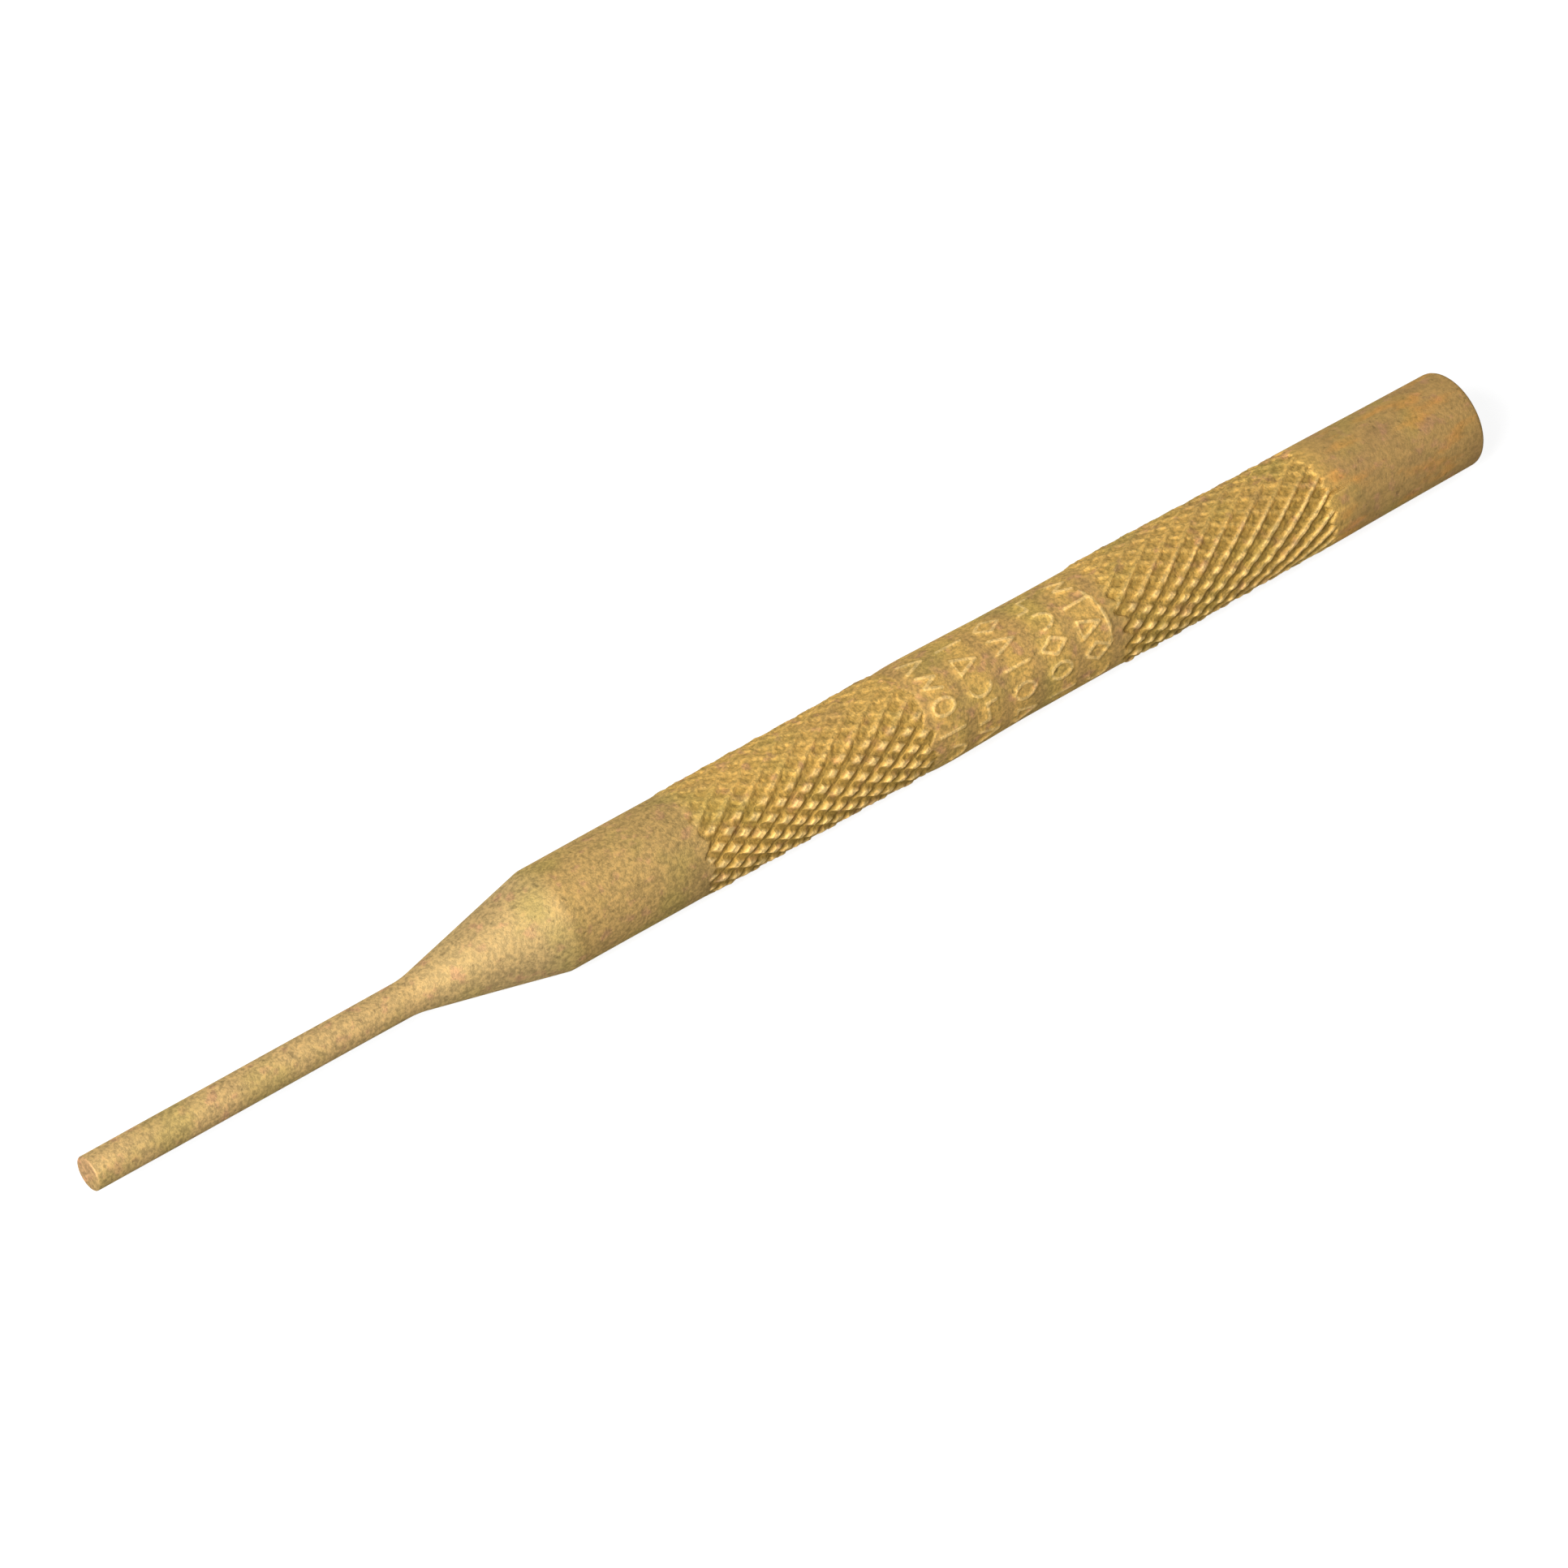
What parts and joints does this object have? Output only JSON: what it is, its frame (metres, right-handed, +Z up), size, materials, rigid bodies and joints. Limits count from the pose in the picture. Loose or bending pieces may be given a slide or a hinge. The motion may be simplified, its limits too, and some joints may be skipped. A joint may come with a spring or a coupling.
{
  "type": "drive pin punch",
  "caption": "Solid brass drive pin punch with a slim straight pin, a conical shoulder, a round shank with knurled grip zones and a plain struck head.",
  "frame": {"origin": "centre of the driving tip's flat face", "axes": "+X along the tool's axis from the driving tip to the struck head, +Z up with the tool lying on its side, +Y across it"},
  "size_m": [0.1111, 0.0074, 0.0074],
  "materials": {
    "satin_brass": "unpolished satin, lightly tarnished"
  },
  "bodies": {
    "root": {"pin_punch": "satin_brass"}
  },
  "joints": []
}
